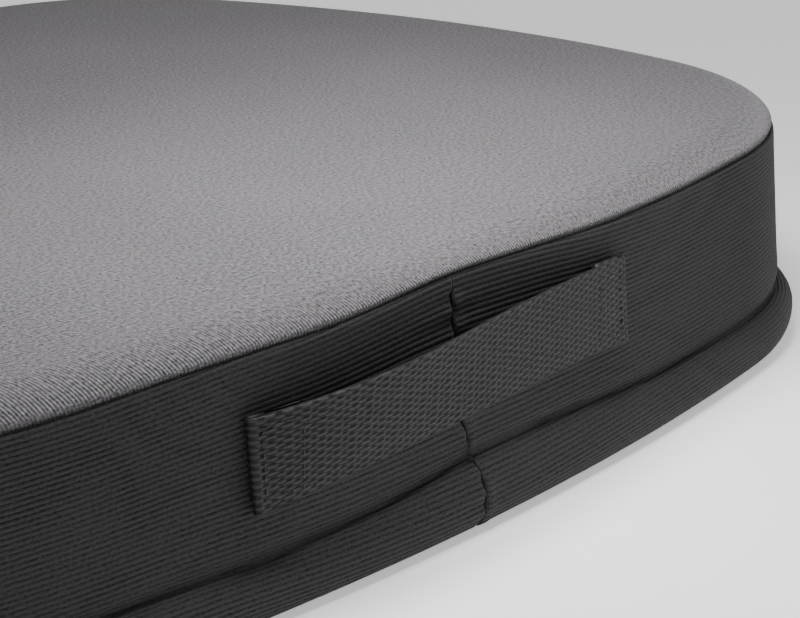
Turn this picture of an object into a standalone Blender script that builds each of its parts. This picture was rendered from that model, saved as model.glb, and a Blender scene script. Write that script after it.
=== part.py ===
# Flat support cushion: two foam layers in a sewn cover with a webbing handle and a rear zip.
# Metres, +Z up. The handle edge faces -Y, the zip edge faces +Y, the floor is Z = 0.
import math
from functools import partial

import bmesh
import bpy
from mathutils import Vector

# Overall size, measured over the lip.
WIDTH = 0.520
DEPTH = 0.400
HEIGHT = 0.075

# Plan outline of the top seam: a shallow front arc, bowed sides and a straight rear edge.
FRONT_RADIUS = 0.900
SIDE_RADIUS = 0.450
FRONT_CORNER_RADIUS = 0.105
REAR_CORNER_RADIUS = 0.090
ARC_STEP = math.radians(9.0)
LONG_STEP = 0.030

# Section of the cover, from the top plateau down to the floor.
SEAM_DROP = 0.007
EDGE_RUN = 0.014
WALL_FLARE = 0.002
LIP_HEIGHT = 0.0175
LIP_OUT = 0.0075
LIP_TURN_IN = 0.008
COVER = 0.0015
BASE_SHEET = 0.0016
GAP = 0.0003

# Seam thread and label.
THREAD_RADIUS = 0.0003
LABEL_WIDTH = 0.030
LABEL_HEIGHT = 0.018
LABEL_THICKNESS = 0.0005
LABEL_FROM_CENTRE = 0.070

# Carry handle.
HANDLE_LENGTH = 0.155
WEBBING_WIDTH = 0.025
WEBBING_THICKNESS = 0.0014
HANDLE_BOTTOM = 0.030
HANDLE_FOLD = 0.016
HANDLE_SEWN = 0.018
HANDLE_BOW = 0.0044
STITCH_INSET = 0.003

# Zip along the straight rear wall.
ZIP_HEIGHT = 0.042
ZIP_END_MARGIN = 0.006
ZIP_WINDOW = 0.0050
TAPE_REACH = 0.0085
TAPE_THICKNESS = 0.0007
COIL_HEIGHT = 0.0020
COIL_THICKNESS = 0.0018
COIL_SPLIT = 0.0012
TAB_LENGTH = 0.010
TAB_THICKNESS = 0.0006
STOP_LENGTH = 0.0025
STOP_THICKNESS = 0.0008

# Slider and pull.
SLIDER_LENGTH = 0.009
PLATE_THICKNESS = 0.0010
FLANGE_THICKNESS = 0.0007
FLANGE_DEPTH = 0.0010
BAIL_LENGTH = 0.0062
BAIL_WIDTH = 0.0020
BAIL_BAR = 0.0009
PULL_LENGTH = 0.026
PULL_WIDTH = 0.0070
PULL_THICKNESS = 0.0010
PULL_ARM = 0.0014
PULL_EYE = 0.0042
STOP_CLEARANCE = 0.0006

# Heights and insets that follow from the sizes above.
SEAM_Z = HEIGHT - SEAM_DROP
SEAM_HALF_WIDTH = WIDTH / 2 - WALL_FLARE - LIP_OUT
SEAM_HALF_DEPTH = DEPTH / 2 - WALL_FLARE - LIP_OUT


# ---------------------------------------------------------------- plan outline

def tangent_corner(centre_a, radius_a, centre_b, radius_b, radius):
    """Centre of a circle that touches two larger circles from inside, on the +X side."""
    reach_a = radius_a - radius
    reach_b = radius_b - radius
    span = centre_b - centre_a
    along = (reach_a ** 2 - reach_b ** 2 + span.length_squared) / (2 * span.length)
    across = math.sqrt(reach_a ** 2 - along ** 2)
    unit = span.normalized()
    return centre_a + along * unit + across * Vector((-unit.y, unit.x))


def heading(centre, point):
    """Direction of travel, anticlockwise, at a point on a circle: 0 is along +X."""
    out = point - centre
    return math.atan2(out.x, -out.y)


def half_outline():
    """Arcs and one line from the front centre round the +X side to the rear centre."""
    front = Vector((0.0, FRONT_RADIUS - SEAM_HALF_DEPTH))
    side = Vector((SEAM_HALF_WIDTH - SIDE_RADIUS, 0.0))
    corner = tangent_corner(front, FRONT_RADIUS, side, SIDE_RADIUS, FRONT_CORNER_RADIUS)
    rear_y = SEAM_HALF_DEPTH - REAR_CORNER_RADIUS
    rear_x = side.x + math.sqrt((SIDE_RADIUS - REAR_CORNER_RADIUS) ** 2 - rear_y ** 2)
    rear = Vector((rear_x, rear_y))
    turn_1 = heading(front, corner)
    turn_2 = heading(side, corner)
    turn_3 = heading(side, rear)
    arcs = [
        (front, FRONT_RADIUS, 0.0, turn_1),
        (corner, FRONT_CORNER_RADIUS, turn_1, turn_2),
        (side, SIDE_RADIUS, turn_2, turn_3),
        (rear, REAR_CORNER_RADIUS, turn_3, math.pi),
    ]
    return arcs, rear_x


ARCS, REAR_STRAIGHT = half_outline()
ARC_LENGTH = sum(radius * (end - start) for _, radius, start, end in ARCS)
HALF_LENGTH = ARC_LENGTH + REAR_STRAIGHT
ZIP_HALF = REAR_STRAIGHT - ZIP_END_MARGIN


def edge_at(distance):
    """Point on the top seam and its outward direction, by distance from the front centre."""
    side = 1.0 if distance >= 0 else -1.0
    left = abs(distance)
    for centre, radius, start, end in ARCS:
        if left <= radius * (end - start):
            turn = start + left / radius
            out = Vector((math.sin(turn), -math.cos(turn)))
            point = centre + radius * out
            return Vector((point.x * side, point.y)), Vector((out.x * side, out.y))
        left -= radius * (end - start)
    return Vector((side * (REAR_STRAIGHT - left), SEAM_HALF_DEPTH)), Vector((0.0, 1.0))


def edge_stations():
    """Distances along the right half at which every layer has its corners."""
    stops = [0.0]
    for _, radius, start, end in ARCS:
        first = stops[-1]
        length = radius * (end - start)
        count = math.ceil(max((end - start) / ARC_STEP, length / LONG_STEP))
        stops += [first + length * (index + 1) / count for index in range(count)]
    return stops + [HALF_LENGTH - ZIP_HALF, HALF_LENGTH]


STATIONS = edge_stations()
FULL_LOOP = STATIONS + [-stop for stop in reversed(STATIONS[1:-1])]


# ---------------------------------------------------------------- sections

def arc_points(centre, radii, start, end, count):
    """Points on an ellipse, in degrees from straight out towards straight up."""
    points = []
    for index in range(count + 1):
        angle = math.radians(start + (end - start) * index / count)
        points.append((centre[0] + radii[0] * math.cos(angle), centre[1] + radii[1] * math.sin(angle)))
    return points


def inset(points, depth):
    """The same open section, moved inwards by a depth; the section runs from the top down."""
    moved = []
    for index, point in enumerate(points):
        before = Vector(points[max(index - 1, 0)])
        after = Vector(points[min(index + 1, len(points) - 1)])
        here = Vector(point)
        first = (here - before).normalized() if index else (after - here).normalized()
        second = (after - here).normalized() if index < len(points) - 1 else first
        normal_1 = Vector((first.y, -first.x))
        normal_2 = Vector((second.y, -second.x))
        mitre = (normal_1 + normal_2).normalized()
        step = depth / max(mitre.dot(normal_1), 0.5)
        moved.append((here.x + mitre.x * step, here.y + mitre.y * step))
    return moved


def wall_offset(height):
    """How far the wall stands out from the top seam at a height above the lip."""
    return WALL_FLARE * (SEAM_Z - height) / (SEAM_Z - LIP_HEIGHT)


def top_section():
    """Outer face of the top panel, from its plateau down to the top seam."""
    return arc_points((-EDGE_RUN, SEAM_Z), (EDGE_RUN, SEAM_DROP), 90, 0, 5)


def lip_section():
    """Outer face of the lip, from the groove round to the underside."""
    half = LIP_HEIGHT / 2
    return arc_points((WALL_FLARE, half), (LIP_OUT, half), 90, -90, 8)


def band_face(top, bottom):
    """Outer face of a piece of the side band between two heights."""
    face = [(wall_offset(top), top)]
    if bottom > LIP_HEIGHT:
        return face + [(wall_offset(bottom), bottom)]
    return face + lip_section() + [(WALL_FLARE - LIP_TURN_IN, 0.0)]


def band_section(top, bottom):
    """Closed section of a piece of the side band between two heights."""
    outer = band_face(top, bottom)
    inner = inset(outer, COVER)
    inner[0] = (inner[0][0], top)
    if bottom > LIP_HEIGHT:
        inner[-1] = (inner[-1][0], bottom)
    return outer + inner[::-1]


# ---------------------------------------------------------------- solids

def add_object(name, mesh, smooth=True):
    """Link a mesh under the node's name and shade it."""
    if smooth:
        mesh.shade_smooth()
        mesh.set_sharp_from_angle(angle=math.radians(40))
    piece = bpy.data.objects.new(name, mesh)
    bpy.context.scene.collection.objects.link(piece)
    return piece


def finish_mesh(name, bm, smooth=True):
    """Turn the faces outwards and make the object."""
    bmesh.ops.recalc_face_normals(bm, faces=bm.faces)
    mesh = bpy.data.meshes.new(name)
    bm.to_mesh(mesh)
    bm.free()
    return add_object(name, mesh, smooth)


def place(distance, offset, height):
    """World point at an offset out from the top seam."""
    point, out = edge_at(distance)
    spot = point + out * offset
    return Vector((spot.x, spot.y, height))


def join_rings(bm, rings, closed):
    """Quads between rings of vertices, and a face on each open end."""
    for ring_a, ring_b in zip(rings, rings[1:]):
        count = len(ring_a)
        for index in range(count if closed else count - 1):
            step = (index + 1) % count
            bm.faces.new((ring_a[index], ring_a[step], ring_b[step], ring_b[index]))


def capped_layer(name, section):
    """A body right across the plan: one ring per section point, flat faces on both ends."""
    bm = bmesh.new()
    rings = [[bm.verts.new(place(stop, offset, height)) for stop in FULL_LOOP]
             for offset, height in section]
    join_rings(bm, rings, True)
    bm.faces.new(rings[0])
    bm.faces.new(rings[-1])
    return finish_mesh(name, bm)


def swept_strip(name, section, spots):
    """A closed section swept through places that each turn (offset, height) into a point."""
    bm = bmesh.new()
    rings = [[bm.verts.new(spot(offset, height)) for offset, height in section] for spot in spots]
    join_rings(bm, rings, True)
    bm.faces.new(rings[0])
    bm.faces.new(rings[-1])
    return finish_mesh(name, bm)


def side_strip(name, section, start, end):
    """A section swept along the right half of the outline between two distances."""
    stops = [start] + [stop for stop in STATIONS if start + GAP < stop < end - GAP] + [end]
    return swept_strip(name, section, [partial(place, stop) for stop in stops])


def rear_strip(name, section, half):
    """A section swept along the straight rear wall, to the same distance either side of centre."""
    def spot(x, offset, height):
        return Vector((x, SEAM_HALF_DEPTH + offset, height))
    return swept_strip(name, section, [partial(spot, half), partial(spot, -half)])


def add_box(bm, low, high):
    """A box between two corners."""
    size = Vector(high) - Vector(low)
    verts = bmesh.ops.create_cube(bm, size=1.0)["verts"]
    bmesh.ops.scale(bm, vec=size, verts=verts)
    bmesh.ops.translate(bm, vec=(Vector(high) + Vector(low)) / 2, verts=verts)


def box(name, low, high):
    """A box as an object of its own."""
    bm = bmesh.new()
    add_box(bm, low, high)
    return finish_mesh(name, bm, smooth=False)


def prism(name, outline, axis, low, high):
    """An outline in the two axes that follow the extrusion axis, extruded between two values."""
    bm = bmesh.new()
    order = (axis, (axis + 1) % 3, (axis + 2) % 3)
    ends = []
    for value in (low, high):
        ring = []
        for pair in outline:
            spot = [0.0, 0.0, 0.0]
            spot[order[0]] = value
            spot[order[1]] = pair[0]
            spot[order[2]] = pair[1]
            ring.append(bm.verts.new(spot))
        ends.append(ring)
    join_rings(bm, ends, True)
    bm.faces.new(ends[0])
    bm.faces.new(ends[1])
    return finish_mesh(name, bm, smooth=False)


def tube(name, points, radius, sides):
    """A closed ring of thread through points."""
    curve = bpy.data.curves.new(name, "CURVE")
    curve.dimensions = "3D"
    curve.bevel_depth = radius
    curve.bevel_resolution = sides
    spline = curve.splines.new("POLY")
    spline.points.add(len(points) - 1)
    for spot, point in zip(spline.points, points):
        spot.co = (point.x, point.y, point.z, 1.0)
    spline.use_cyclic_u = True
    piece = bpy.data.objects.new(name, curve)
    bpy.context.scene.collection.objects.link(piece)
    return piece


def boolean(target, other, operation):
    """Cut or join with another object, exactly."""
    step = target.modifiers.new(operation.title(), "BOOLEAN")
    step.operation = operation
    step.solver = "EXACT"
    step.object = other
    other.hide_render = True
    other.display_type = "WIRE"


# ---------------------------------------------------------------- foam and cover

def make_foam():
    """The upper layer, with a channel for the zip, and the wider base layer."""
    depth = COVER + GAP
    skin = inset(top_section(), depth)
    faces = inset(band_face(SEAM_Z, 0.0), depth)
    groove = faces[1]
    upper = capped_layer("foam_upper_layer", skin[:-1] + [faces[0], (groove[0], groove[1] + GAP)])
    reach = TAPE_REACH + 2 * GAP
    low = (-ZIP_HALF - GAP, SLIDER_BACK - GAP, ZIP_HEIGHT - reach)
    high = (ZIP_HALF + GAP, SEAM_HALF_DEPTH + LIP_OUT, ZIP_HEIGHT + reach)
    boolean(upper, box("zip_channel_cutter", low, high), "DIFFERENCE")

    floor = BASE_SHEET + GAP
    rim = [point for point in faces[1:-1] if point[1] > floor + GAP]
    base = capped_layer("foam_base_layer", rim + [(WALL_FLARE - depth, floor)])
    return upper, base


def make_cover():
    """Top panel, side bands, rear pieces round the zip, bottom panel and top seam thread."""
    outer = top_section()
    outer[-1] = (outer[-1][0], SEAM_Z + GAP / 2)
    inner = inset(outer, COVER)
    inner[-1] = (inner[-1][0], outer[-1][1])
    top = capped_layer("top_panel", outer + inner[::-1])

    seam = SEAM_Z - GAP / 2
    zip_start = HALF_LENGTH - ZIP_HALF
    right = side_strip("side_band_right", band_section(seam, 0.0), GAP / 2, zip_start - GAP)
    left = side_strip("side_band_left", band_section(seam, 0.0), GAP / 2, zip_start - GAP)
    mirror(left)

    above = rear_strip("zip_band_upper", band_section(seam, ZIP_HEIGHT + ZIP_WINDOW), ZIP_HALF)
    below = rear_strip("zip_band_lower", band_section(ZIP_HEIGHT - ZIP_WINDOW, 0.0), ZIP_HALF)

    edge = WALL_FLARE - LIP_TURN_IN - GAP
    bottom = capped_layer("bottom_panel", [(edge, BASE_SHEET), (edge, 0.0)])

    ring = [place(stop, THREAD_RADIUS + GAP, SEAM_Z) for stop in FULL_LOOP]
    thread = tube("top_seam_thread", ring, THREAD_RADIUS, 1)
    return top, left, right, above, below, bottom, thread


def mirror(piece):
    """Turn a right-hand piece into its left-hand twin."""
    bm = bmesh.new()
    bm.from_mesh(piece.data)
    bmesh.ops.scale(bm, vec=(-1.0, 1.0, 1.0), verts=bm.verts)
    bmesh.ops.recalc_face_normals(bm, faces=bm.faces)
    bm.to_mesh(piece.data)
    bm.free()


def make_label():
    """A blank care label, sewn into the top seam at the rear and lying on the band."""
    left = -LABEL_FROM_CENTRE - LABEL_WIDTH / 2
    right = -LABEL_FROM_CENTRE + LABEL_WIDTH / 2
    top = SEAM_Z - 2 * THREAD_RADIUS - GAP
    outline = []
    for lift, heights in ((GAP, (top, top - LABEL_HEIGHT)), (GAP + LABEL_THICKNESS, (top - LABEL_HEIGHT, top))):
        outline += [(SEAM_HALF_DEPTH + wall_offset(height) + lift, height) for height in heights]
    return prism("care_label", outline, 0, left, right)


# ---------------------------------------------------------------- handle

def bow_at(distance):
    """How far the webbing stands off the wall, flat under the sewn ends."""
    free_half = HANDLE_LENGTH / 2 - HANDLE_SEWN
    if abs(distance) >= free_half:
        return 0.0
    share = distance / free_half
    return HANDLE_BOW * (1 - share * share) ** 2


def handle_path():
    """Centre line of the webbing as (distance, lift off the wall), from one folded end to the other."""
    pitch = WEBBING_THICKNESS + GAP
    low = GAP + WEBBING_THICKNESS / 2
    high = low + pitch
    end = HANDLE_LENGTH / 2 - WEBBING_THICKNESS - GAP / 2
    fold = [(-HANDLE_LENGTH / 2 + HANDLE_FOLD, low), (-end, low)]
    for index in range(1, 6):
        angle = math.pi * index / 6
        fold.append((-end - pitch / 2 * math.sin(angle), (low + high) / 2 - pitch / 2 * math.cos(angle)))
    fold.append((-end, high))
    free_half = HANDLE_LENGTH / 2 - HANDLE_SEWN
    steps = 20
    span = [-free_half + 2 * free_half * index / steps for index in range(steps + 1)]
    run = [(distance, high + bow_at(distance)) for distance in span]
    back = [(-distance, lift) for distance, lift in reversed(fold)]
    return fold + run + back


def make_handle():
    """The webbing with both ends folded under, and the stitching of each end."""
    path = handle_path()
    bm = bmesh.new()
    rings = []
    half = WEBBING_THICKNESS / 2
    for index, spot in enumerate(path):
        before = Vector(path[max(index - 1, 0)])
        after = Vector(path[min(index + 1, len(path) - 1)])
        along = (after - before).normalized()
        side = Vector((-along.y, along.x)) * half
        ring = []
        for sign, height in ((1, 0), (1, 1), (-1, 1), (-1, 0)):
            level = HANDLE_BOTTOM + WEBBING_WIDTH * height
            distance = spot[0] + side.x * sign
            offset = spot[1] + side.y * sign + wall_offset(level)
            ring.append(bm.verts.new(place(distance, offset, level)))
        rings.append(ring)
    join_rings(bm, rings, True)
    bm.faces.new(rings[0])
    bm.faces.new(rings[-1])
    webbing = finish_mesh("handle_webbing", bm)

    lift = 2 * GAP + 2 * WEBBING_THICKNESS + GAP + THREAD_RADIUS
    outer = HANDLE_LENGTH / 2 - STITCH_INSET
    inner = HANDLE_LENGTH / 2 - HANDLE_SEWN + STITCH_INSET
    low = HANDLE_BOTTOM + STITCH_INSET
    high = HANDLE_BOTTOM + WEBBING_WIDTH - STITCH_INSET
    stitches = []
    for name, sign in (("handle_stitch_left", -1), ("handle_stitch_right", 1)):
        corners = ((outer, low), (outer, high), (inner, high), (inner, low))
        loop = [place(sign * distance, lift + wall_offset(level), level) for distance, level in corners]
        stitches.append(tube(name, loop, THREAD_RADIUS, 1))
    return webbing, stitches


# ---------------------------------------------------------------- zip

def behind_wall(height):
    """Where a tape that lies against the back of the rear band has its front, at a height."""
    return SEAM_HALF_DEPTH + wall_offset(height) - COVER - GAP


TAPE_FRONT = behind_wall(ZIP_HEIGHT + TAPE_REACH)
TAPE_BACK = TAPE_FRONT - TAPE_THICKNESS
COIL_BACK = TAPE_FRONT + GAP
COIL_FRONT = COIL_BACK + COIL_THICKNESS
COIL_OUTER = COIL_SPLIT / 2 + COIL_HEIGHT
PLATE_BACK = COIL_FRONT + GAP
PLATE_FRONT = PLATE_BACK + PLATE_THICKNESS
SLIDER_BACK = TAPE_BACK - GAP - PLATE_THICKNESS
PULL_AXIS = PLATE_FRONT + GAP + PULL_THICKNESS * 0.75
BAIL_FRONT = PULL_AXIS + PULL_THICKNESS / 2 + GAP + BAIL_BAR
TRAVEL_END = ZIP_HALF - TAB_LENGTH - STOP_LENGTH - STOP_CLEARANCE - SLIDER_LENGTH / 2 - 2 * GAP


def make_tapes():
    """Both tapes, upright in the window and following the wall beyond it, and both coils."""
    pieces = []
    for word, sign in (("upper", 1), ("lower", -1)):
        near = ZIP_HEIGHT + sign * COIL_SPLIT / 2
        hem = ZIP_HEIGHT + sign * ZIP_WINDOW
        far = ZIP_HEIGHT + sign * TAPE_REACH
        front = [(TAPE_FRONT, near), (TAPE_FRONT, hem), (behind_wall(far), far)]
        back = [(y - TAPE_THICKNESS, z) for y, z in reversed(front)]
        pieces.append(prism("zip_tape_" + word, front + back, 0, -ZIP_HALF, ZIP_HALF))
        far = ZIP_HEIGHT + sign * COIL_OUTER
        low = (-ZIP_HALF, COIL_BACK, min(near, far))
        high = (ZIP_HALF, COIL_FRONT, max(near, far))
        pieces.append(box("zip_coil_" + word, low, high))
    return pieces


def make_ends():
    """A stop at each end of the slider's travel and a fabric tab over each end of the zip."""
    pieces = []
    reach = ZIP_WINDOW - 2 * GAP
    for stop_name, tab_name, sign in (("zip_stop_closed", "zip_tab_left", -1),
                                      ("zip_stop_open", "zip_tab_right", 1)):
        near = TRAVEL_END + SLIDER_LENGTH / 2 + STOP_CLEARANCE
        spots = sorted((sign * near, sign * (near + STOP_LENGTH)))
        low = (spots[0], COIL_FRONT + GAP, ZIP_HEIGHT - COIL_OUTER)
        high = (spots[1], COIL_FRONT + GAP + STOP_THICKNESS, ZIP_HEIGHT + COIL_OUTER)
        pieces.append(box(stop_name, low, high))
        spots = sorted((sign * (ZIP_HALF - TAB_LENGTH), sign * ZIP_HALF))
        low = (spots[0], COIL_FRONT + GAP, ZIP_HEIGHT - reach)
        high = (spots[1], COIL_FRONT + GAP + TAB_THICKNESS, ZIP_HEIGHT + reach)
        pieces.append(box(tab_name, low, high))
    return pieces


def make_slider():
    """Two plates held together by a web between the coils, flanges and a bail, at the closed end."""
    web = COIL_SPLIT / 2 - GAP
    wing = COIL_OUTER + GAP + FLANGE_THICKNESS
    skirt = COIL_OUTER + GAP
    skirt_back = PLATE_BACK - FLANGE_DEPTH
    half_section = [
        (SLIDER_BACK, wing), (SLIDER_BACK + PLATE_THICKNESS, wing),
        (SLIDER_BACK + PLATE_THICKNESS, web), (PLATE_BACK, web), (PLATE_BACK, skirt),
        (skirt_back, skirt), (skirt_back, wing), (PLATE_FRONT, wing),
    ]
    outline = [(y, ZIP_HEIGHT + z) for y, z in half_section]
    outline += [(y, ZIP_HEIGHT - z) for y, z in reversed(half_section)]
    start = -TRAVEL_END
    low = start - SLIDER_LENGTH / 2
    body = prism("zip_slider", outline, 0, low, low + SLIDER_LENGTH)

    inner = BAIL_LENGTH / 2 - BAIL_BAR
    sunk = PLATE_FRONT - PLATE_THICKNESS / 2
    arch = [
        (BAIL_LENGTH / 2, sunk), (BAIL_LENGTH / 2, BAIL_FRONT - GAP), (BAIL_LENGTH / 2 - GAP, BAIL_FRONT),
        (-BAIL_LENGTH / 2 + GAP, BAIL_FRONT), (-BAIL_LENGTH / 2, BAIL_FRONT - GAP), (-BAIL_LENGTH / 2, sunk),
        (-inner, sunk), (-inner, BAIL_FRONT - BAIL_BAR), (inner, BAIL_FRONT - BAIL_BAR), (inner, sunk),
    ]
    outline = [(start + x, y) for x, y in arch]
    bail = prism("bail_joined_to_slider", outline, 2, ZIP_HEIGHT - BAIL_WIDTH / 2, ZIP_HEIGHT + BAIL_WIDTH / 2)
    boolean(body, bail, "UNION")
    return body


def make_pull():
    """A flat pull with a square eye; its end bar turns in the bail on the object's own origin."""
    half_wide = PULL_WIDTH / 2
    half_thick = PULL_THICKNESS / 2
    bm = bmesh.new()
    add_box(bm, (-half_thick, -half_thick, -half_wide), (PULL_LENGTH, half_thick, half_wide))
    piece = finish_mesh("zip_pull", bm, smooth=False)
    step = piece.modifiers.new("Edges", "BEVEL")
    step.width = half_thick * 0.5
    step.segments = 1
    eye = box("pull_eye_cutter", (half_thick, -PULL_WIDTH, -half_wide + PULL_ARM),
              (half_thick + PULL_EYE, PULL_WIDTH, half_wide - PULL_ARM))
    eye.parent = piece
    boolean(piece, eye, "DIFFERENCE")
    piece.location = (-TRAVEL_END, PULL_AXIS, ZIP_HEIGHT)
    return piece


# ---------------------------------------------------------------- materials

def material(name, colour, roughness, metallic=0.0):
    """A plain Principled material from a linear colour."""
    made = bpy.data.materials.new(name)
    made.use_nodes = True
    shader = made.node_tree.nodes["Principled BSDF"]
    shader.inputs["Base Color"].default_value = (*colour, 1.0)
    shader.inputs["Roughness"].default_value = roughness
    shader.inputs["Metallic"].default_value = metallic
    made.diffuse_color = (*colour, 1.0)
    return made


def paint(pieces, made):
    """Give each piece its own copy of a material."""
    for piece in pieces:
        own = made.copy()
        own.name = made.name + "_" + piece.name
        piece.data.materials.append(own)


def build():
    """Clear the scene and make every piece."""
    for old in list(bpy.data.objects):
        bpy.data.objects.remove(old, do_unlink=True)
    foam = make_foam()
    top, left, right, above, below, bottom, thread = make_cover()
    label = make_label()
    webbing, stitches = make_handle()
    tapes = make_tapes()
    ends = make_ends()
    slider = make_slider()
    pull = make_pull()
    paint(foam, material("foam", (0.72, 0.70, 0.62), 0.9))
    paint([top], material("velour", (0.17, 0.168, 0.172), 0.85))
    paint([left, right, above, below], material("rib_knit", (0.022, 0.020, 0.021), 0.85))
    paint([bottom], material("grip_fabric", (0.02, 0.02, 0.02), 0.8))
    paint([webbing], material("webbing", (0.030, 0.029, 0.028), 0.75))
    paint([thread, *stitches], material("thread", (0.06, 0.058, 0.06), 0.6))
    paint([label], material("label_cloth", (0.6, 0.6, 0.58), 0.7))
    paint([piece for piece in tapes if "tape" in piece.name], material("zip_tape", (0.02, 0.02, 0.02), 0.8))
    paint([piece for piece in tapes if "coil" in piece.name], material("nylon", (0.025, 0.025, 0.025), 0.45))
    paint([piece for piece in ends if "tab" in piece.name], material("tab_cloth", (0.025, 0.024, 0.025), 0.85))
    metal = material("painted_zinc", (0.05, 0.05, 0.052), 0.35, 0.9)
    paint([piece for piece in ends if "stop" in piece.name] + [slider, pull], metal)


build()
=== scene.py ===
# Flat support cushion, dressed: velour top, ribbed charcoal band, woven handle and rear zip.
import math
import bmesh
import bpy
import numpy as np
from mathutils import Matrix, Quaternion, Vector


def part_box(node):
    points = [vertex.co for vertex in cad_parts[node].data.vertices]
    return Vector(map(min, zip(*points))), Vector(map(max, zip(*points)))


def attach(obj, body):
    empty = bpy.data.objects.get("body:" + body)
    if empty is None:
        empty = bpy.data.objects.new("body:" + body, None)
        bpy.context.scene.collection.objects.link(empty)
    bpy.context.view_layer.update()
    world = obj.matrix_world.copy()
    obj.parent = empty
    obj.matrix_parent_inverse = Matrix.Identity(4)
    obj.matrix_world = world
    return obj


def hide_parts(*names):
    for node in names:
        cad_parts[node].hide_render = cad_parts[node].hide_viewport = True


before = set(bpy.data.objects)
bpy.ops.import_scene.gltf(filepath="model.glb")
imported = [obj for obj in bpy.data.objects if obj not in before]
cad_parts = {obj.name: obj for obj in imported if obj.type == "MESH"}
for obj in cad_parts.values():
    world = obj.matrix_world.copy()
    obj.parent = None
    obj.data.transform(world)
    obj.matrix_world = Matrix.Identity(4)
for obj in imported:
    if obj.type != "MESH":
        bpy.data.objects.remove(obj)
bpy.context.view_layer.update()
print("frame loaded:", len(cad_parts), "nodes")

mm = 0.001
cushion = "cushion"


# Small tools

def toLinear(hexColour):
    # sRGB hex to linear RGBA
    parts = [int(hexColour[i:i + 2], 16) / 255 for i in (1, 3, 5)]
    return [c / 12.92 if c <= 0.04045 else ((c + 0.055) / 1.055) ** 2.4 for c in parts] + [1.0]


def addNode(tree, kind, values=None, **settings):
    # one node, its settings, and its inputs: a constant, a socket, or another node's first output
    node = tree.nodes.new(kind)
    for name, value in settings.items():
        setattr(node, name, value)
    for key, value in (values or {}).items():
        if isinstance(value, bpy.types.Node):
            value = value.outputs[0]
        if isinstance(value, bpy.types.NodeSocket):
            tree.links.new(value, node.inputs[key])
        else:
            node.inputs[key].default_value = value
    return node


def smoothStep(low, high, x):
    t = np.clip((np.asarray(x, float) - low) / (high - low), 0, 1)
    return t * t * (3 - 2 * t)


def hump(x, centre, leftWidth, rightWidth):
    # a soft rise to 1 at its centre, with its own width on each side
    x = np.asarray(x, float) - centre
    return np.exp(-(x / np.where(x < 0, leftWidth, rightWidth)) ** 2)


def addObject(name, data):
    piece = bpy.data.objects.new(name, data)
    bpy.context.scene.collection.objects.link(piece)
    return piece


def makeObject(name, points, faces, cloth=None, lift=None):
    # a smooth mesh object with its place in its mesh; "cloth" holds metres along and across the cloth,
    # and "lift" how much of the ribs or weave each point takes
    mesh = bpy.data.meshes.new(name)
    mesh.from_pydata(np.asarray(points, float).tolist(), [], faces)
    if cloth is not None:
        mesh.attributes.new("cloth", "FLOAT_VECTOR", "POINT").data.foreach_set("vector", np.ravel(cloth))
        mesh.attributes.new("lift", "FLOAT", "POINT").data.foreach_set("value", np.ravel(lift))
    mesh.shade_smooth()
    return addObject(name, mesh)


def ringFaces(count, around, first=0):
    # quads between rings of points, each ring closed on itself
    here = first + np.arange(count - 1)[:, None] * around + np.arange(around)[None, :]
    right = here + 1 - around * (np.arange(around) == around - 1)
    return np.stack([here, right, right + around, here + around], -1).reshape(-1, 4).tolist()


def fanFaces(first, around, tip):
    return [(first + k, first + (k + 1) % around, tip) for k in range(around)]


def turnedOver(faces):
    return [face[::-1] for face in faces]


def sweep(name, rings, cloth, lift):
    # rings of points joined in order and capped; faces point outwards for a ring that runs anticlockwise
    # when seen against the path's direction
    count, around = rings.shape[:2]
    ends = [list(range(around))[::-1], list(range((count - 1) * around, count * around))]
    return makeObject(name, rings.reshape(-1, 3), ringFaces(count, around) + ends, cloth, lift)


def settle(piece, step):
    # leaves the modifier's result behind as a plain mesh
    graph = bpy.context.evaluated_depsgraph_get()
    mesh = bpy.data.meshes.new_from_object(piece.evaluated_get(graph), depsgraph=graph)
    piece.modifiers.remove(step)
    old, piece.data = piece.data, mesh
    mesh.name = piece.name
    bpy.data.meshes.remove(old)


def thicken(piece, thickness, offset, material):
    step = piece.modifiers.new("cloth thickness", "SOLIDIFY")
    step.thickness = thickness
    step.offset = offset
    step.use_even_offset = False
    settle(piece, step)
    paint(piece, material)


def paint(piece, material):
    piece.data.materials.clear()
    piece.data.materials.append(material)


def bake(piece, tree, inputs):
    # runs a Geometry Nodes tree on a piece
    step = piece.modifiers.new(tree.name, "NODES")
    step.node_group = tree
    for item in tree.interface.items_tree:
        if item.item_type == "SOCKET" and item.in_out == "INPUT" and item.name in inputs:
            step[item.identifier] = inputs[item.name]
    settle(piece, step)
    return piece


def startTree(name, sizes):
    # a Geometry Nodes group with a geometry in and out, its named sizes and its material
    tree = bpy.data.node_groups.new(name, "GeometryNodeTree")
    tree.interface.new_socket("Geometry", in_out="OUTPUT", socket_type="NodeSocketGeometry")
    tree.interface.new_socket("Geometry", in_out="INPUT", socket_type="NodeSocketGeometry")
    for label, value in sizes.items():
        tree.interface.new_socket(label, in_out="INPUT", socket_type="NodeSocketFloat").default_value = value
    tree.interface.new_socket("material", in_out="INPUT", socket_type="NodeSocketMaterial")
    return tree, addNode(tree, "NodeGroupInput").outputs


# Outline and section of the cushion

outline = {
    "frontRadius": 0.900,
    "sideRadius": 0.450,
    "frontCorner": 0.105,
    "rearCorner": 0.090,
}
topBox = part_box("top_panel")
halfWidth = topBox[1][0]
halfDepth = topBox[1][1]
topHeight = topBox[1][2]
seamHeight = sum(corner[2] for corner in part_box("top_seam_thread")) / 2


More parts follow.
